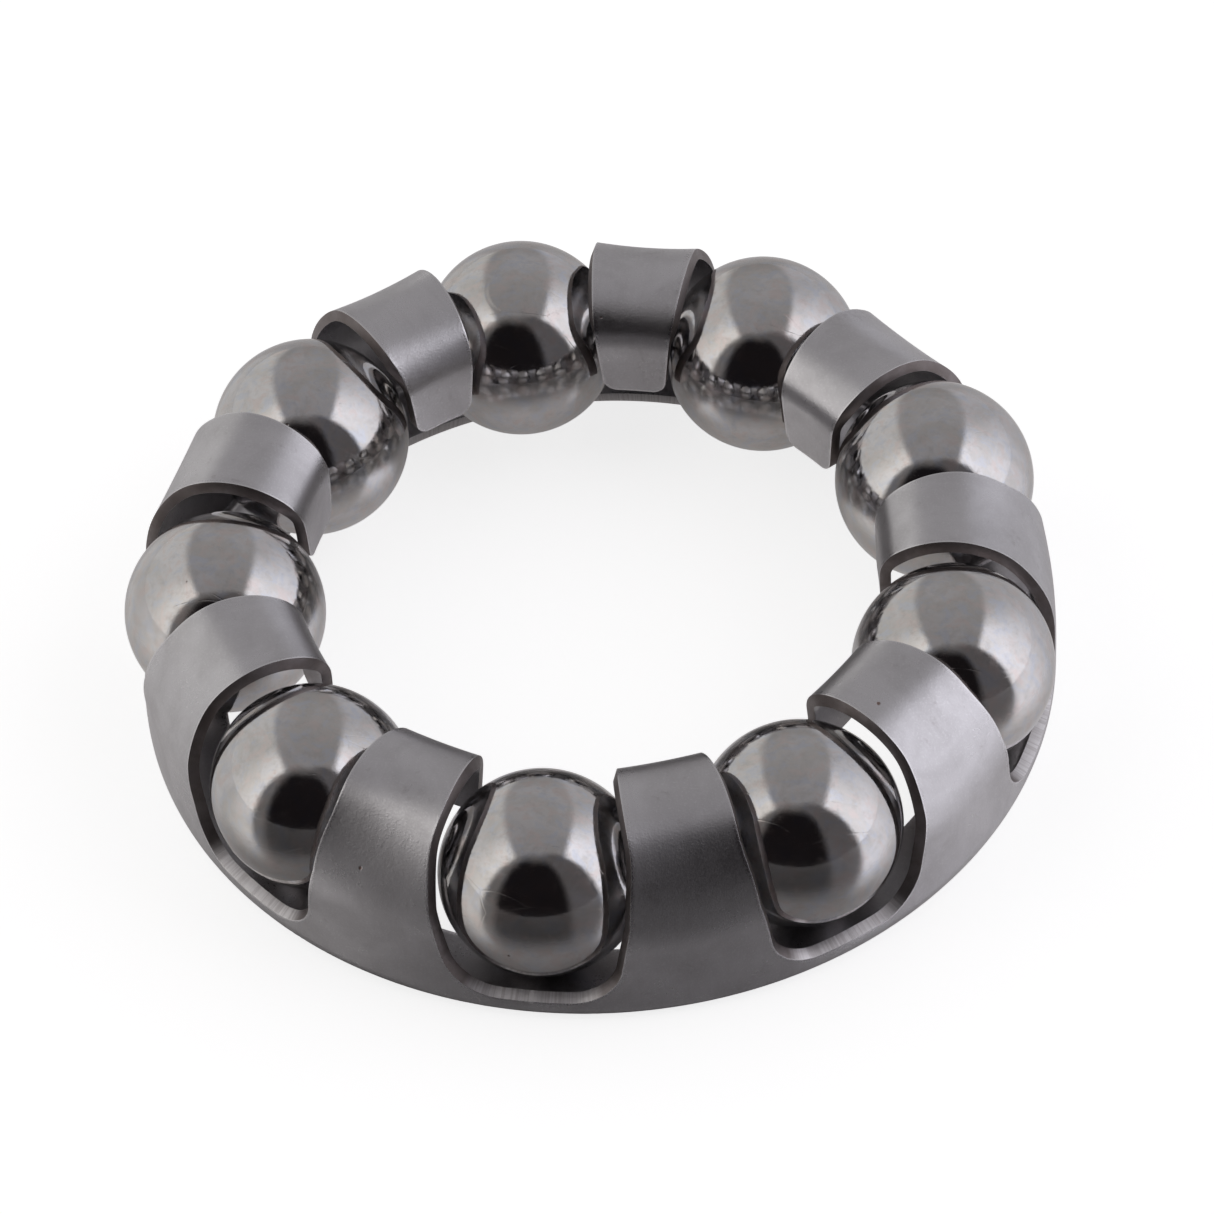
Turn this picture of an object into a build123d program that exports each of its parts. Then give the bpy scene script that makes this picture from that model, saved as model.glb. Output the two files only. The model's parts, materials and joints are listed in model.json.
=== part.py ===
from build123d import *
import math
import os

# A caged ball ring, as used in a bicycle bottom bracket: a pressed steel cage holds loose steel balls.
# Millimetres and degrees. +Z is the ring's axis, and Z = 0 is the face that the cage rests on.

# Balls
ball_diameter = 6.35
ball_count = 9
pitch_diameter = 23.4  # circle through the ball centres
ball_gap = 0.09  # least gap between a ball and the cage
ball_proud = 0.355  # how far a ball stands out past the outer wall

# Sheet that the cage is pressed from, and the turned-in flange at its foot
sheet = 0.35
flange_width = 2.54  # from the wall's outer face in to the flange's bore
foot_bend_radius = 0.60  # outer face of the bend between flange and wall

# Hooked fingers: the outer face's bends, from the wall over the crest to the free tab
crest_rise = 0.02  # crest above the tops of the balls
shoulder_radius = 4.2
tuck_radius = 1.4
side_bend_turn = 50.0  # turn of the shoulder, and of the tuck; the crest turns through the rest
tab_reach = 0.30  # tab tips below the ball centres
tab_wrap = 25.3  # how far round the ball the tab's edges stand, from the line between two balls
tip_corner_radius = 0.45
tip_flat_share = 0.1  # least share of the tip's width that its rounded corners leave straight

# Pockets between the fingers
band_height = 0.86  # unbroken band of wall under the pockets
pocket_corner_radius = 1.65
pocket_side_lean = 8.5  # lower sides of a pocket, off vertical
pocket_knee_rise = 0.5  # where the sides turn upright, above the ball centres
pocket_bite = 0.185  # half the ball's width, less half the pocket's upright width
finger_spread = 0.095  # widening of half a finger per mm outward
finger_rise_spread = 0.10  # widening of half a finger per mm upward

# Worked out from the values above
ball_radius = ball_diameter / 2
pitch_radius = pitch_diameter / 2
half_spacing = math.radians(180 / ball_count)  # from a ball to the next finger
ball_height = sheet + ball_gap + ball_radius
held_radius = ball_radius + ball_gap
wall_radius = pitch_radius + ball_radius - ball_proud
flange_bore_radius = wall_radius - flange_width
tab_half_width = pitch_radius * math.sin(half_spacing) - held_radius * math.cos(math.radians(tab_wrap))
tab_outer_radius = pitch_radius * math.cos(half_spacing) - held_radius * math.sin(math.radians(tab_wrap))
tab_inner_radius = tab_outer_radius - sheet
tip_half_width = tab_half_width - finger_spread * sheet - finger_rise_spread * tab_reach
tip_rounding = min(tip_corner_radius, tip_half_width * (1 - tip_flat_share))
crest_height = ball_height + ball_radius + crest_rise
side_cos = math.cos(math.radians(side_bend_turn))
side_sin = math.sin(math.radians(side_bend_turn))
side_bends_width = (shoulder_radius + tuck_radius) * (1 - side_cos)
crest_radius = (wall_radius - tab_inner_radius - side_bends_width) / (2 * side_cos)
crest_ends_height = crest_height - crest_radius * (1 - side_sin)
shoulder_height = crest_ends_height - shoulder_radius * side_sin
tuck_height = crest_ends_height - tuck_radius * side_sin
cut_start = pitch_radius / 2  # the cutting bodies reach from here, inside the tabs,
cut_end = wall_radius + ball_radius  # to here, outside the wall,
cut_top = crest_height + ball_radius  # and up to here


def sheet_line(depth):
    """The line that lies this deep under the sheet's outer face, from the flange's bore to the tab's tip."""
    foot_x = wall_radius - foot_bend_radius
    shoulder_x = wall_radius - shoulder_radius
    crest_x = shoulder_x + (shoulder_radius - crest_radius) * side_cos
    tuck_x = tab_inner_radius + tuck_radius
    crest_z = crest_height - crest_radius
    wall_x = wall_radius - depth
    tab_x = tab_inner_radius + depth
    crest_turn = 180 - 2 * side_bend_turn
    return [
        Line((flange_bore_radius, depth), (foot_x, depth)),
        CenterArc((foot_x, foot_bend_radius), foot_bend_radius - depth, -90, 90),
        Line((wall_x, foot_bend_radius), (wall_x, shoulder_height)),
        CenterArc((shoulder_x, shoulder_height), shoulder_radius - depth, 0, side_bend_turn),
        CenterArc((crest_x, crest_z), crest_radius - depth, side_bend_turn, crest_turn),
        CenterArc((tuck_x, tuck_height), tuck_radius - depth, 180 - side_bend_turn, side_bend_turn),
        Line((tab_x, tuck_height), (tab_x, ball_height - tab_reach)),
    ]


def cage_blank():
    """The sheet turned once round the axis: flange, wall and hook, before the pockets are cut."""
    outside = sheet_line(0)
    inside = sheet_line(sheet)
    bore_end = Line(outside[0] @ 0, inside[0] @ 0)
    tip_end = Line(outside[-1] @ 1, inside[-1] @ 1)
    section = make_face([*outside, tip_end, *inside, bore_end])
    return revolve(Plane.XZ * section, Axis.Z)


def slot_prism():
    """The pocket's outline in the wall, with its rounded floor, run inward along +X across the ring."""
    upright_half = ball_radius - pocket_bite
    knee_height = ball_height + pocket_knee_rise
    lean = math.tan(math.radians(pocket_side_lean))
    floor_half = upright_half - (knee_height - band_height) * lean
    right = [(floor_half, band_height), (upright_half, knee_height), (upright_half, cut_top)]
    left = [(-y, z) for y, z in reversed(right)]
    outline = make_face(Polyline(*right, *left, close=True))
    floor_corners = outline.vertices().sort_by(Axis.Y)[:2]
    outline = fillet(floor_corners, pocket_corner_radius)
    return extrude(Plane.YZ.offset(cut_start) * outline, cut_end - cut_start, dir=(1, 0, 0))


def finger_wedge():
    """The space along +X between the side faces of two neighbouring fingers."""

    def side_point(x):
        half = tab_half_width + finger_spread * (x - tab_outer_radius)
        half -= finger_rise_spread * (ball_height - band_height)
        along = x * math.cos(half_spacing) + half * math.sin(half_spacing)
        across = x * math.sin(half_spacing) - half * math.cos(half_spacing)
        return along, across

    near, far = side_point(cut_start), side_point(cut_end)
    corners = [(near[0], -near[1]), (far[0], -far[1]), far, near]
    outline = Plane.XY.offset(band_height) * make_face(Polyline(*corners, close=True))
    lean = math.degrees(math.atan(finger_rise_spread))
    return extrude(outline, cut_top - band_height, taper=lean)


def retainer_cage():
    """The pressed cage: the blank with a pocket cut for each ball and the tabs' tips rounded."""
    pocket = slot_prism() & finger_wedge()
    cage = cage_blank()
    for index in range(ball_count):
        cage -= Rot(Z=ball_angle(index)) * pocket
    tip_height = ball_height - tab_reach
    tip_edges = cage.edges().filter_by(
        lambda edge: abs(edge.center().Z - tip_height) < sheet / 10 and abs(edge.length - sheet) < sheet / 10
    )
    return fillet(tip_edges, tip_rounding)


def ball_angle(index):
    """The ball's place round the axis: the first stands on -Y, and the rest follow to the left."""
    return -90 + 360 / ball_count * index


def ball(index):
    """One steel ball, centred in its pocket."""
    return Rot(Z=ball_angle(index)) * Pos(pitch_radius, 0, ball_height) * Sphere(ball_radius)


os.makedirs("parts", exist_ok=True)
export_step(retainer_cage(), "parts/retainer_cage.step")
for index in range(ball_count):
    export_step(ball(index), f"parts/ball_{index + 1}.step")
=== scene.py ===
import json
import math

import bmesh
import bpy
import numpy as np
from mathutils import Matrix, Vector


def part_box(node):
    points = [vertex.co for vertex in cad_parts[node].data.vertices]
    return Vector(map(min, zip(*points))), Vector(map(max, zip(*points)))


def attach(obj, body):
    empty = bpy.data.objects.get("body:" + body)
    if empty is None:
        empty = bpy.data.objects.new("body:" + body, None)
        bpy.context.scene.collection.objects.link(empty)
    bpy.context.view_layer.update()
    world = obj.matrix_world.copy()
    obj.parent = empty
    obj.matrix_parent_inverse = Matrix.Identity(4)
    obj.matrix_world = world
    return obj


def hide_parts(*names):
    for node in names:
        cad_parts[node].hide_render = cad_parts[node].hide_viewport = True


# Looks of a caged ball ring: a pressed, hooked steel cage round polished steel balls.
# Lengths are in millimetres and angles in radians, and meshes are written in metres.

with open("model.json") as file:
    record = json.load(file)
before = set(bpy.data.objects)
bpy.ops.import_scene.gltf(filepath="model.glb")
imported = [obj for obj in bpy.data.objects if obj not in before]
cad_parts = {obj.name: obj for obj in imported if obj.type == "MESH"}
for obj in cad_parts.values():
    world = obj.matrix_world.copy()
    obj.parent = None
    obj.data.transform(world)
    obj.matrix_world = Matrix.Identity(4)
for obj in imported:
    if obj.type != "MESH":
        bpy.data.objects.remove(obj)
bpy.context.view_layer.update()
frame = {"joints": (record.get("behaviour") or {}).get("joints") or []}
MM = 0.001

# ---------------------------------------------------------------- sizes, in mm
# From the frame
BALL_JOINTS = [joint for joint in frame["joints"] if joint["child"].startswith("ball_")]
BALL_COUNT = len(BALL_JOINTS)
BALL_CENTRES = [Vector(joint["pos_m"]) / MM for joint in BALL_JOINTS]
ball_low, ball_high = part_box("ball_1")
BALL_RADIUS = max(ball_high - ball_low) / 2 / MM
PITCH_RADIUS = BALL_CENTRES[0].xy.length
BALL_HEIGHT = BALL_CENTRES[0].z
_, cage_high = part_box("retainer_cage")
WALL_RADIUS = cage_high.x / MM
CREST_HEIGHT = cage_high.z / MM

# The cage's sheet and its bends, as in the CAD source
SHEET = 0.35
FLANGE_WIDTH = 2.54
FOOT_RADIUS = 0.60
SHOULDER_RADIUS = 4.2
TUCK_RADIUS = 1.4
SIDE_TURN = math.radians(50)
TAB_REACH = 0.30
TAB_WRAP = math.radians(25.3)
BALL_GAP = 0.09
TIP_CORNER = 0.45
BAND_HEIGHT = 0.86
POCKET_CORNER = 1.65
POCKET_LEAN = math.radians(8.5)
POCKET_BITE = 0.185
KNEE_RISE = 0.5
FINGER_SPREAD = 0.095
FINGER_RISE_SPREAD = 0.10

# Worked out
HALF_SPACING = math.pi / BALL_COUNT
HELD_RADIUS = BALL_RADIUS + BALL_GAP
TAB_HALF = PITCH_RADIUS * math.sin(HALF_SPACING) - HELD_RADIUS * math.cos(TAB_WRAP)
TAB_OUTER = PITCH_RADIUS * math.cos(HALF_SPACING) - HELD_RADIUS * math.sin(TAB_WRAP)
TAB_INNER = TAB_OUTER - SHEET
SIDE_COS, SIDE_SIN = math.cos(SIDE_TURN), math.sin(SIDE_TURN)
SIDE_BENDS = (SHOULDER_RADIUS + TUCK_RADIUS) * (1 - SIDE_COS)
CREST_RADIUS = (WALL_RADIUS - TAB_INNER - SIDE_BENDS) / (2 * SIDE_COS)
BENDS_MEET = CREST_HEIGHT - CREST_RADIUS * (1 - SIDE_SIN)
SHOULDER_HEIGHT = BENDS_MEET - SHOULDER_RADIUS * SIDE_SIN
TUCK_HEIGHT = BENDS_MEET - TUCK_RADIUS * SIDE_SIN
TIP_HEIGHT = BALL_HEIGHT - TAB_REACH
POCKET_HALF = BALL_RADIUS - POCKET_BITE
KNEE_HEIGHT = BALL_HEIGHT + KNEE_RISE
FLOOR_HALF = POCKET_HALF - (KNEE_HEIGHT - BAND_HEIGHT) * math.tan(POCKET_LEAN)
FLAT_HALF = FLOOR_HALF - POCKET_CORNER * math.tan((math.pi / 2 - POCKET_LEAN) / 2)
CORNER_TOP = BAND_HEIGHT + POCKET_CORNER * (1 - math.sin(POCKET_LEAN))

# Finish of the pressing that the CAD leaves plain
EDGE_ROUND = 0.06  # rounding of the sheared edges
SADDLE = 0.08  # how far a finger's sides stand proud of its middle, over the crest
CUT_TAPER = 0.14  # how much further the sheet's inner face reaches into a pocket than its outer face
BURNISH_AND_HIGHLIGHT_WIDTH = 0.16  # how far the burnish and its painted highlight reach in from an edge
INNER_BURNISH_AND_HIGHLIGHT = 0.3  # burnish and painted highlight of the inner face's edges, as a share of the outer face's
STREAK_SHIFT = 7  # step between neighbouring fingers in the streaks' pattern, so that no two look alike
# How far each finger is bent outwards, upwards and round the ring, from the finger after the first ball on
HOOK_BENDS = [
    (0.04, 0.0, 0.02), (0.0, 0.0, 0.0), (-0.28, -0.32, 0.0),
    (0.0, -0.36, 0.0), (-0.06, 0.02, 0.0), (0.08, 0.1, 0.0),
    (0.1, 0.04, 0.0), (0.08, 0.02, 0.0), (0.0, 0.06, -0.08),
]

# Fineness of the meshes
BALL_DIVISIONS = 48  # grid squares along each edge of the cube behind a ball
FINGER_COLUMNS = 24  # across a finger
FINGER_ROWS = [18, 20, 24, 12, 8]  # up the wall, shoulder, crest, tuck and straight part of the tab
TIP_ROWS = 8  # round the tip's corners
TIP_GAP = 0.004  # how far the last row stays short of the tip
POCKET_COLUMNS = 14  # across half a pocket's floor
FOOT_ROWS = 26  # from the bore to the pockets' floors
FINGER_OUTLINE = 160  # points up a finger's side, to measure the wear from
FLOOR_OUTLINE = 40  # points along a pocket's floor, to measure the wear from
OUTLINE_PAST = 0.06  # how far the floor's points go on past the pocket's middle, in radians
SAME = 1e-6  # angles, and places on a ball of radius 1, closer than this are the same


# ---------------------------------------------------------------- camera
def look_from(place, rows, lens):
    """Puts the camera at a place, with its right, down and forward directions as rows."""
    data = bpy.data.cameras.new("camera")
    data.sensor_width = 36
    data.lens = lens
    data.clip_start = 0.01
    data.clip_end = 20
    camera = bpy.data.objects.new("camera", data)
    bpy.context.scene.collection.objects.link(camera)
    right, down, forward = (Vector(row) for row in rows)
    turn = Matrix((right, -down, -forward)).transposed().to_4x4()
    camera.matrix_world = Matrix.Translation(Vector(place) * MM) @ turn
    bpy.context.scene.camera = camera


CAMERA_PLACE = (24.658, -130.335, 145.961)
CAMERA_ROWS = [(0.98965, 0.13664, -0.04378), (0.07097, -0.73134, -0.67831), (-0.1247, 0.66819, -0.73347)]
CAMERA_LENS = 182.89
look_from(CAMERA_PLACE, CAMERA_ROWS, CAMERA_LENS)


# ---------------------------------------------------------------- node helpers
class Nodes:
    """A short way to write node trees: every call adds to the tree and returns an output."""

    def __init__(self, tree):
        self.tree = tree
        tree.nodes.clear()

    def add(self, kind, inputs=None, output=0, **settings):
        node = self.tree.nodes.new(kind)
        for name, value in settings.items():
            setattr(node, name, value)
        for name, value in (inputs or {}).items():
            if isinstance(value, bpy.types.NodeSocket):
                self.tree.links.new(value, node.inputs[name])
            else:
                node.inputs[name].default_value = value
        return node.outputs[output] if node.outputs else None

    def math(self, operation, a, b=0.0, c=0.0):
        return self.add("ShaderNodeMath", {0: a, 1: b, 2: c}, operation=operation)

    def ramp(self, value, low, high, to_low=0.0, to_high=1.0):
        """value, from low to high, smoothly becomes to_low to to_high."""
        inputs = {"Value": value, "From Min": low, "From Max": high, "To Min": to_low, "To Max": to_high}
        return self.add("ShaderNodeMapRange", inputs, interpolation_type="SMOOTHSTEP")

    def mix(self, factor, a, b):
        """Colour a, going to colour b as factor goes to 1."""
        inputs = {0: factor, 6: a, 7: b}
        return self.add("ShaderNodeMix", inputs, output=2, data_type="RGBA")

    def noise(self, vector, scale, detail=3.0, roughness=0.5, distortion=0.0):
        inputs = {"Vector": vector, "Scale": scale, "Detail": detail, "Roughness": roughness,
                  "Distortion": distortion}
        return self.add("ShaderNodeTexNoise", inputs)

    def scaled(self, vector, factors):
        return self.add("ShaderNodeVectorMath", {0: vector, 1: factors}, operation="MULTIPLY")

    def spots(self, vector, scale):
        """Distance to the nearest of many scattered points, which makes pits and specks."""
        inputs = {"Vector": vector, "Scale": scale, "Randomness": 1.0}
        return self.add("ShaderNodeTexVoronoi", inputs)

    def place(self):
        """The point on the object, in mm."""
        return self.scaled(self.add("ShaderNodeTexCoord", output="Object"), (1 / MM, 1 / MM, 1 / MM))

    def sheet_place(self):
        """The point on the cage's sheet laid flat, in mm: across its finger, and along from the bore."""
        return self.add("ShaderNodeUVMap", uv_map="sheet_mm")


def material(name):
    made = bpy.data.materials.new(name)
    made.use_nodes = True
    return made, Nodes(made.node_tree)


def finish_metal(nodes, colour, roughness, height, bump):
    """A metal shader with this colour, roughness and height, of which 1 stands bump mm proud."""
    normal = nodes.add("ShaderNodeBump", {"Height": height, "Strength": 1.0, "Distance": bump * MM})
    inputs = {"Base Color": colour, "Roughness": roughness, "Normal": normal, "Metallic": 1.0}
    shader = nodes.add("ShaderNodeBsdfPrincipled", inputs)
    nodes.add("ShaderNodeOutputMaterial", {"Surface": shader})


# ---------------------------------------------------------------- materials
def ball_steel():
    """Ground and polished steel: a mirror with a faint haze, tarnish, hair scratches and a few pits."""
    made, nodes = material("ball_steel")
    place = nodes.place()
    cloud = nodes.noise(place, 0.7, 4, 0.6, 0.8)
    tint = nodes.noise(nodes.scaled(place, (1.0, 1.3, 0.8)), 1.9, 4, 0.62, 0.5)
    grime = nodes.ramp(nodes.noise(place, 3.4, 5, 0.68), 0.45, 0.75)
    colour = nodes.mix(nodes.ramp(cloud, 0.36, 0.64), (0.575, 0.565, 0.57, 1), (0.51, 0.495, 0.48, 1))
    colour = nodes.mix(nodes.ramp(tint, 0.5, 0.66, 0, 0.75), colour, (0.57, 0.505, 0.485, 1))
    colour = nodes.mix(nodes.ramp(tint, 0.5, 0.34, 0, 0.65), colour, (0.485, 0.51, 0.57, 1))
    colour = nodes.mix(nodes.math("MULTIPLY", grime, 0.4), colour, (0.40, 0.38, 0.37, 1))
    pit = nodes.math("MULTIPLY_ADD", grime, 0.02, nodes.spots(place, 0.5))
    pit = nodes.ramp(pit, 0.014, 0.032, 1, 0)
    colour = nodes.mix(nodes.math("MULTIPLY", pit, 0.8), colour, (0.10, 0.06, 0.05, 1))
    lines = nodes.add("ShaderNodeTexVoronoi", {
        "Vector": nodes.scaled(place, (0.32, 1.0, 0.55)), "Scale": 0.8, "Randomness": 1.0,
    }, feature="DISTANCE_TO_EDGE")
    scratches = nodes.math("MULTIPLY", nodes.ramp(lines, 0.0, 0.012, 1, 0), nodes.ramp(cloud, 0.5, 0.6))
    roughness = nodes.math("MULTIPLY_ADD", grime, 0.08, 0.07)
    roughness = nodes.math("MULTIPLY_ADD", nodes.ramp(tint, 0.4, 0.7), 0.05, roughness)
    roughness = nodes.math("MULTIPLY_ADD", scratches, 0.12, roughness)
    roughness = nodes.math("MULTIPLY_ADD", pit, 0.3, roughness)
    waves = nodes.noise(place, 2.2, 4, 0.6)
    height = nodes.math("MULTIPLY_ADD", waves, 0.6, nodes.math("MULTIPLY", cloud, 0.8))
    height = nodes.math("SUBTRACT", height, nodes.math("MULTIPLY_ADD", scratches, 0.3, pit))
    finish_metal(nodes, colour, roughness, height, bump=0.0042)
    return made


def cage_steel():
    """Tumbled, satin sheet steel: fine grain, faint drawing streaks, burnished edges with a painted
    highlight, and dark specks.
    """
    made, nodes = material("cage_steel")
    place = nodes.place()
    sheet_place = nodes.sheet_place()
    rim = nodes.add("ShaderNodeAttribute", attribute_name="rim", output="Fac")
    grain = nodes.noise(place, 15.0, 3, 0.6)
    dents = nodes.noise(place, 5.0, 3, 0.55)
    cloud = nodes.noise(place, 0.5, 4, 0.6, 0.4)
    streaks = nodes.noise(nodes.scaled(sheet_place, (7.0, 0.5, 1.0)), 1.0, 4, 0.6)
    ripple = nodes.noise(nodes.scaled(sheet_place, (1.5, 0.8, 1.0)), 1.0, 2, 0.5)
    scuffed = nodes.ramp(nodes.noise(place, 0.5, 3, 0.6), 0.58, 0.7)
    colour = nodes.mix(nodes.ramp(cloud, 0.35, 0.65), (0.565, 0.553, 0.572, 1), (0.495, 0.483, 0.498, 1))
    colour = nodes.mix(nodes.ramp(streaks, 0.48, 0.7, 0, 0.12), colour, (0.42, 0.405, 0.415, 1))
    colour = nodes.mix(nodes.ramp(grain, 0.5, 0.75, 0, 0.45), colour, (0.66, 0.655, 0.67, 1))
    peppered = nodes.math("MULTIPLY", scuffed, nodes.ramp(dents, 0.46, 0.66, 0, 0.3))
    colour = nodes.mix(peppered, colour, (0.30, 0.28, 0.285, 1))
    smudge = nodes.ramp(nodes.noise(place, 1.9, 4, 0.65, 0.5), 0.62, 0.74, 0, 0.35)
    colour = nodes.mix(smudge, colour, (0.34, 0.315, 0.32, 1))
    speck = nodes.math("MULTIPLY_ADD", dents, 0.05, nodes.spots(place, 0.42))
    speck = nodes.ramp(speck, 0.038, 0.06, 1, 0)
    colour = nodes.mix(nodes.math("MULTIPLY", speck, 0.8), colour, (0.16, 0.085, 0.06, 1))
    # painted highlight: the sheet's edges are lightened towards bright grey, partly real burnish and
    # partly a painted highlight line
    colour = nodes.mix(nodes.ramp(rim, 0.5, 1.0, 0, 0.75), colour, (0.76, 0.75, 0.765, 1))
    roughness = nodes.ramp(grain, 0.3, 0.7, 0.34, 0.28)
    roughness = nodes.math("ADD", roughness, nodes.ramp(cloud, 0.3, 0.7, -0.02, 0.04))
    roughness = nodes.math("MULTIPLY_ADD", scuffed, -0.04, roughness)
    roughness = nodes.math("MULTIPLY_ADD", rim, -0.1, roughness)
    dent_depth = nodes.math("MULTIPLY_ADD", scuffed, 0.12, 0.13)
    height = nodes.math("MULTIPLY_ADD", dents, dent_depth, nodes.math("MULTIPLY", grain, 0.5))
    height = nodes.math("MULTIPLY_ADD", streaks, 0.1, height)
    height = nodes.math("MULTIPLY_ADD", ripple, 0.5, height)
    height = nodes.math("MULTIPLY_ADD", speck, -0.8, height)
    finish_metal(nodes, colour, roughness, height, bump=0.009)
    return made


def sheared_steel():
    """The sheet's cut faces, with painted light and shade: dark brown up the fingers, partly the cut
    steel's own tone and partly painted shade, and painted bright, with tear marks, at the pocket floors.
    """
    made, nodes = material("sheared_steel")
    place = nodes.place()
    sheet_place = nodes.sheet_place()
    along = nodes.add("ShaderNodeSeparateXYZ", {"Vector": sheet_place}, output="Y")
    # painted light: the cut faces are painted bright near the pocket floors
    painted_light_at_floor = nodes.ramp(along, FLOOR_AT + 0.05, FLOOR_AT + 0.45, 1, 0)
    marks = nodes.noise(nodes.scaled(sheet_place, (13.0, 3.0, 1.0)), 1.0, 3, 0.6)
    grain = nodes.noise(place, 16.0, 3, 0.6)
    cloud = nodes.noise(place, 0.9, 3, 0.6)
    # dark brown up the fingers, partly own tone and partly painted shade, against painted light at the
    # pocket floors
    dark_and_shaded_cut = nodes.mix(nodes.ramp(cloud, 0.35, 0.65), (0.25, 0.225, 0.225, 1), (0.19, 0.165, 0.16, 1))
    painted_light_cut = nodes.mix(nodes.ramp(marks, 0.4, 0.64), (0.74, 0.72, 0.73, 1), (0.58, 0.555, 0.56, 1))
    colour = nodes.mix(painted_light_at_floor, dark_and_shaded_cut, painted_light_cut)
    roughness = nodes.ramp(grain, 0.3, 0.7, 0.42, 0.52)
    height = nodes.math("MULTIPLY", marks, nodes.math("MULTIPLY_ADD", painted_light_at_floor, 0.2, 0.3))
    height = nodes.math("MULTIPLY_ADD", grain, 0.5, height)
    finish_metal(nodes, colour, roughness, height, bump=0.012)
    return made


def floor_pale():
    """A pale table: near white where it is seen directly; in the steel greyer, with painted light behind
    the ring, painted shade in front of it, and glossy at a slant.
    """
    made, nodes = material("floor_pale")
    place = nodes.add("ShaderNodeTexCoord", output="Object")
    tone = nodes.mix(nodes.noise(place, 3.0, 2), (0.46, 0.46, 0.46, 1), (0.48, 0.48, 0.48, 1))
    seen = nodes.add("ShaderNodeBsdfPrincipled", {
        "Base Color": tone, "Roughness": 0.6, "Specular IOR Level": 0.1,
        "Emission Color": (1, 1, 1, 1), "Emission Strength": 0.8,
    })
    # painted light and shade: the table behind the ring is painted brighter and glows, and the table in
    # front is painted darker
    front_to_back = nodes.add("ShaderNodeSeparateXYZ", {"Vector": place}, output="Y")
    behind = nodes.ramp(front_to_back, -15 * MM, -4 * MM)
    lit = nodes.mix(behind, (0.58, 0.57, 0.565, 1), (0.94, 0.92, 0.91, 1))
    strength = nodes.math("MULTIPLY", behind, 0.22)
    painted_glow = nodes.add("ShaderNodeEmission", {"Color": (1, 0.97, 0.96, 1), "Strength": strength})
    diffuse = nodes.add("ShaderNodeBsdfDiffuse", {"Color": lit})
    matt = nodes.add("ShaderNodeAddShader", {0: diffuse, 1: painted_glow})
    gloss = nodes.add("ShaderNodeBsdfAnisotropic", {"Color": (0.95, 0.95, 0.95, 1), "Roughness": 0.24})
    slant = nodes.add("ShaderNodeLayerWeight", {"Blend": 0.5}, output="Facing")
    glossy = nodes.ramp(slant, 0.06, 0.6, 0, 0.82)
    mirrored = nodes.add("ShaderNodeMixShader", {0: glossy, 1: matt, 2: gloss})
    camera_ray = nodes.add("ShaderNodeLightPath", output="Is Camera Ray")
    shader = nodes.add("ShaderNodeMixShader", {0: camera_ray, 1: mirrored, 2: seen})
    nodes.add("ShaderNodeOutputMaterial", {"Surface": shader})
    return made


# ---------------------------------------------------------------- mesh helpers
def mesh_object(name, vertices, faces, finishes):
    """A smooth-shaded mesh object with these materials."""
    mesh = bpy.data.meshes.new(name)
    mesh.from_pydata([tuple(c * MM for c in v) for v in vertices], [], faces)
    mesh.shade_smooth()
    made = bpy.data.objects.new(name, mesh)
    bpy.context.scene.collection.objects.link(made)
    for finish in finishes:
        mesh.materials.append(finish)
    return made


def apply_modifiers(made):
    """Turns the object's modifiers into its own mesh."""
    depsgraph = bpy.context.evaluated_depsgraph_get()
    mesh = bpy.data.meshes.new_from_object(made.evaluated_get(depsgraph))
    made.modifiers.clear()
    made.data = mesh


# ---------------------------------------------------------------- balls
def ball_mesh():
    """A ball of radius 1 as (vertices, faces): a cube of square grids blown up to a sphere."""
    count = BALL_DIVISIONS
    steps = [math.tan(math.pi / 4 * (2 * i / count - 1)) for i in range(count + 1)]
    made = bmesh.new()
    for axis in range(3):
        for side in (-1, 1):
            grid = [[None] * (count + 1) for _ in steps]
            for i, u in enumerate(steps):
                for j, v in enumerate(steps):
                    point = [0.0, 0.0, 0.0]
                    point[axis] = float(side)
                    point[(axis + 1) % 3] = u * side
                    point[(axis + 2) % 3] = v
                    grid[i][j] = made.verts.new(Vector(point).normalized())
            for i in range(count):
                for j in range(count):
                    made.faces.new((grid[i][j], grid[i + 1][j], grid[i + 1][j + 1], grid[i][j + 1]))
    bmesh.ops.remove_doubles(made, verts=made.verts, dist=SAME)
    made.verts.index_update()
    vertices = [v.co.copy() for v in made.verts]
    faces = [[v.index for v in face.verts] for face in made.faces]
    made.free()
    return vertices, faces


def make_balls(finish):
    """Every ball on its own body, so that each rolls on its own."""
    vertices, faces = ball_mesh()
    for joint, centre in zip(BALL_JOINTS, BALL_CENTRES):
        name = joint["child"]
        placed = [centre + v * BALL_RADIUS for v in vertices]
        piece = mesh_object(f"{name}_polished", placed, faces, [finish])
        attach(piece, name)
        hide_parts(name)


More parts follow.
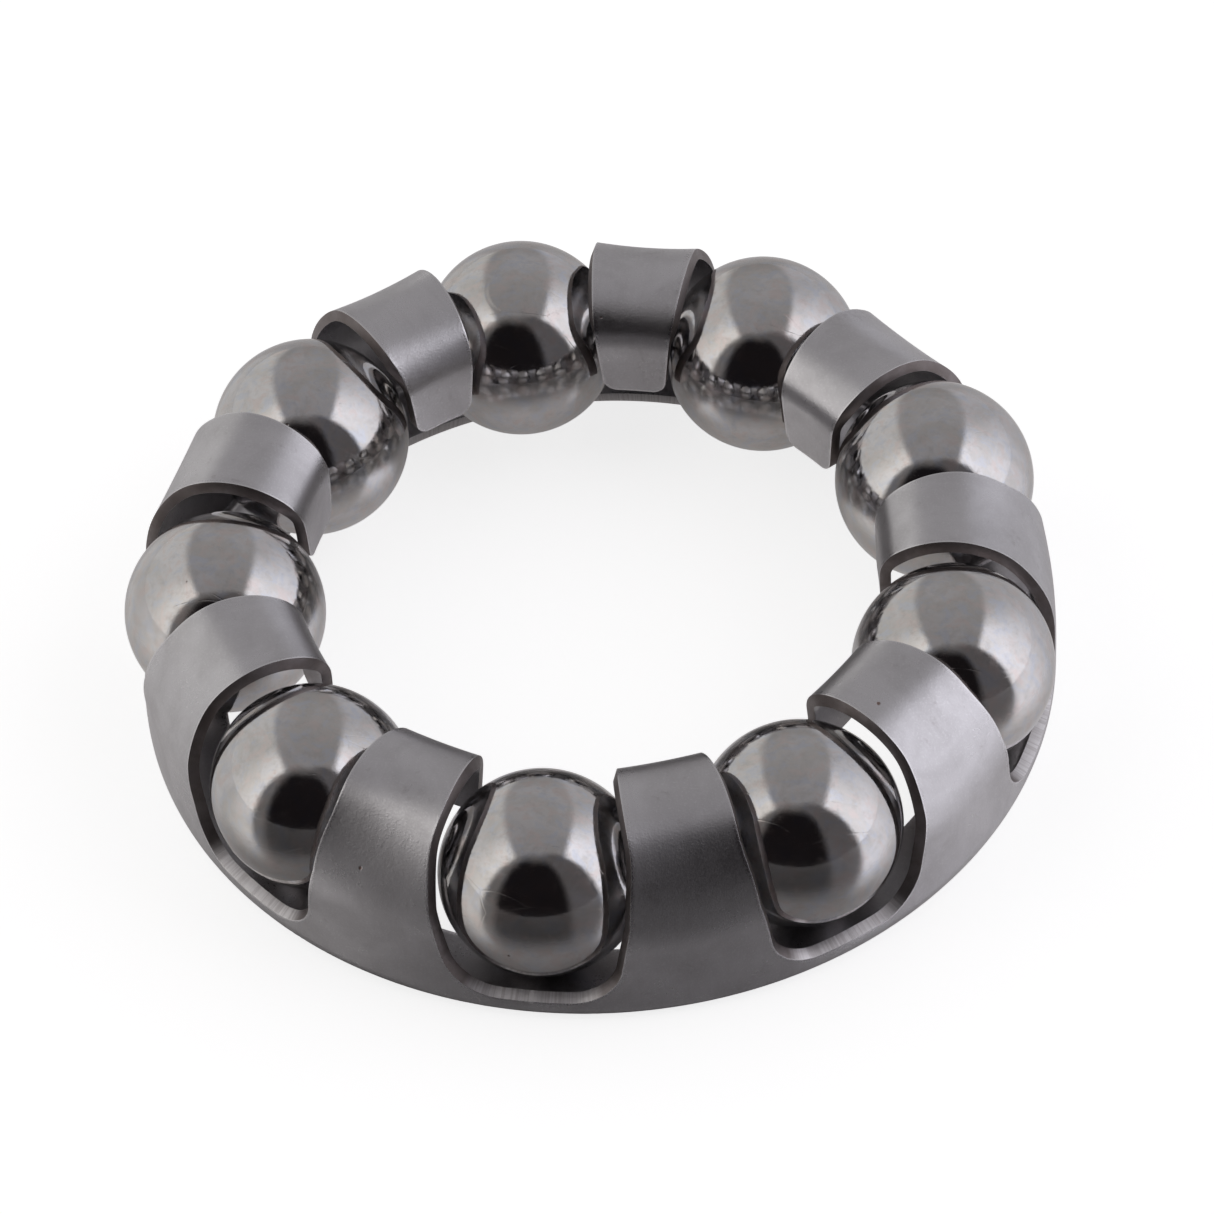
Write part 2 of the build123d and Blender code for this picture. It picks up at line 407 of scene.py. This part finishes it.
# ---------------------------------------------------------------- cage
def profile_spans():
    """The outer face's section as spans from bore to tip: (length, point at a distance along it)."""
    foot_x = WALL_RADIUS - FOOT_RADIUS
    bore = WALL_RADIUS - FLANGE_WIDTH
    shoulder_x = WALL_RADIUS - SHOULDER_RADIUS
    crest_x = shoulder_x + (SHOULDER_RADIUS - CREST_RADIUS) * SIDE_COS
    crest_z = CREST_HEIGHT - CREST_RADIUS
    tuck_x = TAB_INNER + TUCK_RADIUS

    def line(x, z, dx, dz, length):
        return length, lambda d: (x + dx * d, z + dz * d, dz, -dx)

    def arc(x, z, radius, start, turn):
        def point(d):
            angle = start + d / radius
            return (x + radius * math.cos(angle), z + radius * math.sin(angle),
                    math.cos(angle), math.sin(angle))
        return radius * turn, point

    return [
        line(bore, 0, 1, 0, foot_x - bore),
        arc(foot_x, FOOT_RADIUS, FOOT_RADIUS, -math.pi / 2, math.pi / 2),
        line(WALL_RADIUS, FOOT_RADIUS, 0, 1, SHOULDER_HEIGHT - FOOT_RADIUS),
        arc(shoulder_x, SHOULDER_HEIGHT, SHOULDER_RADIUS, 0, SIDE_TURN),
        arc(crest_x, crest_z, CREST_RADIUS, SIDE_TURN, math.pi - 2 * SIDE_TURN),
        arc(tuck_x, TUCK_HEIGHT, TUCK_RADIUS, math.pi - SIDE_TURN, SIDE_TURN),
        line(TAB_INNER, TUCK_HEIGHT, 0, -1, TUCK_HEIGHT - TIP_HEIGHT),
    ]


SPANS = profile_spans()
SPAN_STARTS = [sum(length for length, _ in SPANS[:i]) for i in range(len(SPANS) + 1)]
WALL_AT, SHOULDER_AT, CREST_AT, TUCK_AT, TAB_AT, TIP_AT = SPAN_STARTS[2:]


def profile(distance):
    """The outer face's radius and height, and its normal out and up, at a distance from the bore."""
    span = sum(distance > start for start in SPAN_STARTS[1:-1])
    return SPANS[span][1](distance - SPAN_STARTS[span])


def pocket_half(height):
    """Half the pocket's width at a height, measured square to the ball's radial plane."""
    if height < CORNER_TOP:
        rise = POCKET_CORNER - (height - BAND_HEIGHT)
        return FLAT_HALF + math.sqrt(max(0.0, POCKET_CORNER ** 2 - rise ** 2))
    if height < KNEE_HEIGHT:
        return POCKET_HALF - (KNEE_HEIGHT - height) * math.tan(POCKET_LEAN)
    return POCKET_HALF


def pocket_floor(across):
    """The pocket's lower edge at a distance from the ball's radial plane."""
    over = max(0.0, abs(across) - FLAT_HALF)
    return BAND_HEIGHT + POCKET_CORNER - math.sqrt(POCKET_CORNER ** 2 - over ** 2)


def smooth(value, low, high):
    """0 below low, 1 above high and an even S-curve between them."""
    t = min(1.0, max(0.0, (value - low) / (high - low)))
    return t * t * (3 - 2 * t)


# The mesh is split into fingers and foot where a pocket's corners slope at 45 degrees
SPLIT_HALF = FLAT_HALF + POCKET_CORNER * math.sqrt(0.5)
SPLIT_AT = WALL_AT + pocket_floor(SPLIT_HALF) - FOOT_RADIUS
FLOOR_AT = WALL_AT + BAND_HEIGHT - FOOT_RADIUS
SPLIT_ANGLE = HALF_SPACING - math.asin(SPLIT_HALF / WALL_RADIUS)
ROOT_BLEND = 0.004  # how softly, as an angle, a finger's straight side runs into the pocket's


def finger_half(distance, reach=0.0):
    """Half the finger's width as an angle, at a distance along the sheet, with its sides reach wider."""
    radius, height, _, _ = profile(distance)
    beside_pocket = HALF_SPACING - math.asin(pocket_half(height) / radius)
    half = TAB_HALF + FINGER_SPREAD * (radius - TAB_OUTER) + FINGER_RISE_SPREAD * (height - BALL_HEIGHT)
    straight = math.asin(half / radius)
    wider = (beside_pocket - straight) / ROOT_BLEND
    half_angle = beside_pocket if wider > 10 else straight + ROOT_BLEND * math.log(1 + math.exp(wider))
    to_tip = TIP_AT - distance
    if to_tip < TIP_CORNER:
        over = TIP_CORNER - to_tip
        half_angle -= (TIP_CORNER - math.sqrt(max(0.0, TIP_CORNER ** 2 - over ** 2))) / radius
    return half_angle + reach * (1 - smooth(distance, TUCK_AT, TAB_AT)) / radius


def spread(start, end, count, ease=False):
    """count + 1 values from start to end, closer together towards end if ease is set."""
    steps = [i / count for i in range(count + 1)]
    if ease:
        steps = [math.sin(t * math.pi / 2) for t in steps]
    return [start + (end - start) * t for t in steps]


def crossings(count):
    """count + 1 places across a finger, from -1 to 1, closer together at its sides."""
    bow = math.pi / 2 * 0.82  # a whole quarter turn would crowd the sides most
    return [math.sin((2 * i / count - 1) * bow) / math.sin(bow) for i in range(count + 1)]


class Sector:
    """One finger's share of the sheet, by angle from its middle and distance from the bore."""

    def __init__(self):
        self.index = {}
        self.points = []
        self.quads = []

    def join(self, rows):
        """Adds rows of points, with quads between neighbouring rows."""
        numbered = [[self.point(angle, distance) for angle, distance in row] for row in rows]
        for low, high in zip(numbered, numbered[1:]):
            for i in range(len(low) - 1):
                self.quads.append((low[i], low[i + 1], high[i + 1], high[i]))

    def point(self, angle, distance):
        """The number of the point here, which is shared by all the rows that meet at it."""
        key = (round(angle, 6), round(distance, 5))
        if key not in self.index:
            self.index[key] = len(self.points)
            self.points.append((angle, distance))
        return self.index[key]


def finger_rows(reach):
    """One finger from its root to its tip, with its sides reach wider at the pockets."""
    stops = [SPLIT_AT, SHOULDER_AT, CREST_AT, TUCK_AT, TAB_AT, TIP_AT - TIP_CORNER]
    along = []
    for start, end, count in zip(stops, stops[1:], FINGER_ROWS):
        along += spread(start, end, count)[:-1]
    along += spread(TIP_AT - TIP_CORNER, TIP_AT - TIP_GAP, TIP_ROWS, ease=True)
    rows = []
    for distance in along:
        up = max(0.0, 1 - (profile(distance)[1] - BAND_HEIGHT) / POCKET_CORNER)
        half = finger_half(distance, reach * math.sqrt(1 - up * up))
        rows.append([(u * half, distance + reach * up) for u in crossings(FINGER_COLUMNS)])
    return rows


def foot_rows(reach):
    """The flange, foot bend and band under one finger and half of each pocket beside it.

    The last row stands reach above the pockets' floors.
    """
    root_reach = reach * math.sqrt(0.5)
    split = finger_half(SPLIT_AT, root_reach)
    columns = [(u * split, SPLIT_AT + root_reach) for u in crossings(FINGER_COLUMNS)]
    beside = []
    for angle in spread(SPLIT_ANGLE, HALF_SPACING, POCKET_COLUMNS)[1:]:
        across = WALL_RADIUS * math.sin(HALF_SPACING - angle)
        lean = math.asin(max(0.0, across - FLAT_HALF) / POCKET_CORNER)
        top = WALL_AT + pocket_floor(across) - FOOT_RADIUS + reach * math.cos(lean)
        beside.append((angle + reach * math.sin(lean) / WALL_RADIUS, top))
    columns = [(-angle, top) for angle, top in reversed(beside)] + columns + beside
    return [[(angle, share * top) for angle, top in columns] for share in spread(0, 1, FOOT_ROWS)]


def sector_sheet(reach):
    """A face of the sector, which reaches further into the pockets by reach."""
    sector = Sector()
    sector.join(foot_rows(reach))
    sector.join(finger_rows(reach))
    return sector


def edge_gaps(points):
    """How far each point of the sector lies from the nearest pocket edge, along the sheet."""
    outline = [(finger_half(d), d) for d in spread(SPLIT_AT, TIP_AT - TIP_GAP, FINGER_OUTLINE)]
    for angle in spread(SPLIT_ANGLE, HALF_SPACING + OUTLINE_PAST, FLOOR_OUTLINE):
        across = WALL_RADIUS * math.sin(HALF_SPACING - angle)
        outline.append((angle, WALL_AT + pocket_floor(across) - FOOT_RADIUS))
    outline = np.array(outline + [(-angle, distance) for angle, distance in outline])
    places = np.array(points)
    radii = np.array([profile(distance)[0] for _, distance in points])
    across = (places[:, None, 0] - outline[None, :, 0]) * radii[:, None]
    along = places[:, None, 1] - outline[None, :, 1]
    return np.sqrt((across ** 2 + along ** 2).min(axis=1))


def sheet_point(angle, distance, depth, turn, bend):
    """A point of the sheet, depth under its outer face, on the finger that is turned and bent so."""
    radius, height, normal_out, normal_up = profile(distance)
    half_angle = finger_half(max(distance, SPLIT_AT))
    bend_out, bend_up, bend_round = bend
    on_tab = smooth(distance, TUCK_AT, TAB_AT + 0.6)

    # The sides of the finger stand proud over the crest, and less so down the tuck
    rise = smooth(distance, SHOULDER_AT - 0.6, CREST_AT)
    fall = 1 - 0.6 * smooth(distance, CREST_AT, TUCK_AT)
    side = angle / half_angle
    lift = SADDLE * rise * fall * (side * side - 0.4) * (1 - on_tab) - depth

    # The finger is bent from its root on; an outward bend leaves the tab where it holds the balls
    bent = smooth(distance, SPLIT_AT, CREST_AT + 0.8)
    kept = 1 - on_tab if bend_out > 0 else 1
    radius += normal_out * lift + bend_out * bent * kept
    height += normal_up * lift + bend_up * bent

    # The band is round; up to the crest the finger goes flat from side to side, at its mean distance
    flat = smooth(distance, SPLIT_AT, CREST_AT) * (1 - 0.7 * on_tab)
    mean_cos = 1 - half_angle * half_angle / 6
    outward = radius * (math.cos(angle) + flat * (mean_cos - math.cos(angle)))
    across = radius * math.sin(angle) + bend_round * smooth(distance, SPLIT_AT - 0.6, SHOULDER_AT)
    turn_cos, turn_sin = math.cos(turn), math.sin(turn)
    return outward * turn_cos - across * turn_sin, outward * turn_sin + across * turn_cos, height


def cage_faces():
    """The cage's outer and inner points, its quads, and each point's place on the flat sheet and its edge
    burnish with painted highlight.

    Points on the seam between two fingers' shares are used by both, so that the pressing is one shell.
    """
    outer_sheet = sector_sheet(0.0)
    inner_sheet = sector_sheet(CUT_TAPER)
    gaps = edge_gaps(outer_sheet.points)
    count = len(outer_sheet.points)
    seam = {round(distance, 5): i for i, (angle, distance) in enumerate(outer_sheet.points)
            if angle < SAME - HALF_SPACING}
    first = BALL_CENTRES[0]
    start = math.atan2(first.y, first.x) + HALF_SPACING
    outer, inner, places, wear_and_highlight, used = [], [], [], [], {}
    welded = [[0] * count for _ in range(BALL_COUNT)]
    for finger in range(BALL_COUNT):
        turn = start + 2 * HALF_SPACING * finger
        for i, (angle, distance) in enumerate(outer_sheet.points):
            owner = (finger, i)
            if angle > HALF_SPACING - SAME:
                owner = ((finger + 1) % BALL_COUNT, seam[round(distance, 5)])
            if owner not in used:
                used[owner] = len(outer)
                bend = HOOK_BENDS[finger]
                outer.append(sheet_point(angle, distance, 0.0, turn, bend))
                inner.append(sheet_point(*inner_sheet.points[i], SHEET, turn, bend))
                places.append((angle * profile(distance)[0] + STREAK_SHIFT * finger, distance))
                # edge burnish and painted highlight, strongest at the sheet's cut edges
                edge = min(gaps[i], distance, TIP_AT - distance)
                wear_and_highlight.append(max(0.0, 1 - edge / BURNISH_AND_HIGHLIGHT_WIDTH))
            welded[finger][i] = used[owner]
    quads = [[numbers[i] for i in quad] for numbers in welded for quad in outer_sheet.quads]
    return outer, inner, quads, places, wear_and_highlight


def open_sides(quads):
    """The directed sides that only one quad uses."""
    sides = {}
    for quad in quads:
        for a, b in zip(quad, quad[1:] + quad[:1]):
            if (b, a) in sides:
                del sides[(b, a)]
            else:
                sides[(a, b)] = True
    return list(sides)


def make_cage(finish, cut_finish):
    """The pressing as one closed shell, with its cut edges rounded."""
    outer, inner, quads, places, wear_and_highlight = cage_faces()
    count = len(outer)
    rims = open_sides(quads)
    faces = quads + [[i + count for i in reversed(quad)] for quad in quads]
    faces += [[b, a, a + count, b + count] for a, b in rims]
    piece = mesh_object("cage_pressing", outer + inner, faces, [finish, cut_finish])
    mesh = piece.data
    sheet_place = mesh.uv_layers.new(name="sheet_mm")
    for loop in mesh.loops:
        sheet_place.data[loop.index].uv = places[loop.vertex_index % count]
    # the edges' burnish and painted highlight, weaker on the inner face
    worn_and_highlit = mesh.attributes.new("rim", "FLOAT", "POINT")
    worn_and_highlit.data.foreach_set("value", wear_and_highlight + [INNER_BURNISH_AND_HIGHLIGHT * value for value in wear_and_highlight])
    for index in range(2 * len(quads), len(faces)):
        mesh.polygons[index].material_index = 1
    rim_edges = {frozenset(pair) for pair in rims}
    rim_edges |= {frozenset((a + count, b + count)) for a, b in rims}
    weights = mesh.attributes.new("bevel_weight_edge", "FLOAT", "EDGE")
    values = [1.0 if frozenset(edge.vertices) in rim_edges else 0.0 for edge in mesh.edges]
    weights.data.foreach_set("value", values)
    bevel = piece.modifiers.new("rounded_edges", "BEVEL")
    bevel.limit_method = "WEIGHT"
    bevel.width = EDGE_ROUND * MM
    bevel.segments = 3
    bevel.material = 0
    apply_modifiers(piece)
    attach(piece, "cage")
    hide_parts("retainer_cage")


# ---------------------------------------------------------------- studio
FLOOR_REACH = 1500  # how far the table goes on beside the ring


def make_floor():
    corners = [(x * FLOOR_REACH, y * FLOOR_REACH, 0) for x, y in ((-1, -1), (1, -1), (1, 1), (-1, 1))]
    floor = mesh_object("floor", corners, [[0, 1, 2, 3]], [floor_pale()])


TENT_TURN = math.radians(10.713)  # how far round from the front the tent's opening lies
# Middle and half width round the tent, then middle and half height up it, in degrees
OPENING = (-2, 63, 0, 69)
OPENING_CORE = (-12, 39, 20, 42)
SQUARENESS = 3.5  # how square the opening's corners are


def make_studio():
    """A light tent as the world's light: bright side walls, a grey roof and a dark opening in front."""
    world = bpy.data.worlds.new("light_tent")
    bpy.context.scene.world = world
    world.use_nodes = True
    nodes = Nodes(world.node_tree)
    direction = nodes.add("ShaderNodeTexCoord", output="Generated")
    turn = {"Vector": direction, "Axis": (0, 0, 1), "Angle": -TENT_TURN}
    turned = nodes.add("ShaderNodeVectorRotate", turn, rotation_type="AXIS_ANGLE")
    split = nodes.add("ShaderNodeSeparateXYZ", {"Vector": turned}, output="X").node
    across, back, up = split.outputs
    azimuth = nodes.math("ARCTAN2", across, nodes.math("MULTIPLY", back, -1.0))
    elevation = nodes.math("ARCSINE", up)

    def rounded(azimuth_middle, azimuth_half, elevation_middle, elevation_half, softness):
        """1 inside a rounded rectangle on the sky, in degrees, and 0 outside."""
        parts = []
        for angle, middle, half in ((azimuth, azimuth_middle, azimuth_half),
                                    (elevation, elevation_middle, elevation_half)):
            off = nodes.math("ABSOLUTE", nodes.math("SUBTRACT", angle, math.radians(middle)))
            parts.append(nodes.math("POWER", nodes.math("DIVIDE", off, math.radians(half)), SQUARENESS))
        return nodes.ramp(nodes.math("ADD", *parts), 1 - softness, 1 + softness, 1, 0)

    # A wall reaches up to an edge that rises to the side and drops towards the back
    side = nodes.math("ABSOLUTE", across)
    roof_edge = nodes.math("MULTIPLY", side, 1.62)
    roof_edge = nodes.math("SUBTRACT", roof_edge, nodes.math("MULTIPLY", back, 0.27))
    wall = nodes.ramp(nodes.math("SUBTRACT", roof_edge, up), -0.14, 0.12)
    left_wall = nodes.mix(nodes.ramp(azimuth, math.radians(-112), math.radians(-66)),
                          (0.70, 0.69, 0.675, 1), (1.12, 1.09, 1.06, 1))
    right_wall = nodes.mix(nodes.ramp(azimuth, math.radians(66), math.radians(150)),
                           (1.36, 1.35, 1.43, 1), (0.56, 0.555, 0.58, 1))
    walls = nodes.mix(nodes.ramp(across, -0.05, 0.05), left_wall, right_wall)
    roof = nodes.mix(nodes.ramp(back, -0.5, 0.9), (0.345, 0.335, 0.345, 1), (0.43, 0.42, 0.425, 1))
    roof = nodes.mix(nodes.ramp(up, 0.0, 0.5), (0.36, 0.35, 0.35, 1), roof)
    light = nodes.mix(wall, roof, walls)
    opening = nodes.mix(nodes.ramp(azimuth, math.radians(-40), math.radians(45)),
                        (0.205, 0.195, 0.195, 1), (0.132, 0.124, 0.13, 1))
    light = nodes.mix(rounded(*OPENING, 0.2), light, opening)
    light = nodes.mix(rounded(*OPENING_CORE, 0.45), light, (0.012, 0.01, 0.011, 1))
    camera_ray = nodes.add("ShaderNodeLightPath", output="Is Camera Ray")
    light = nodes.mix(camera_ray, light, (0.97, 0.97, 0.97, 1))
    background = nodes.add("ShaderNodeBackground", {"Color": light, "Strength": 1.0})
    nodes.add("ShaderNodeOutputWorld", {"Surface": background})


bpy.context.scene.view_settings.view_transform = "Standard"
make_studio()
make_floor()
make_balls(ball_steel())
make_cage(cage_steel(), sheared_steel())
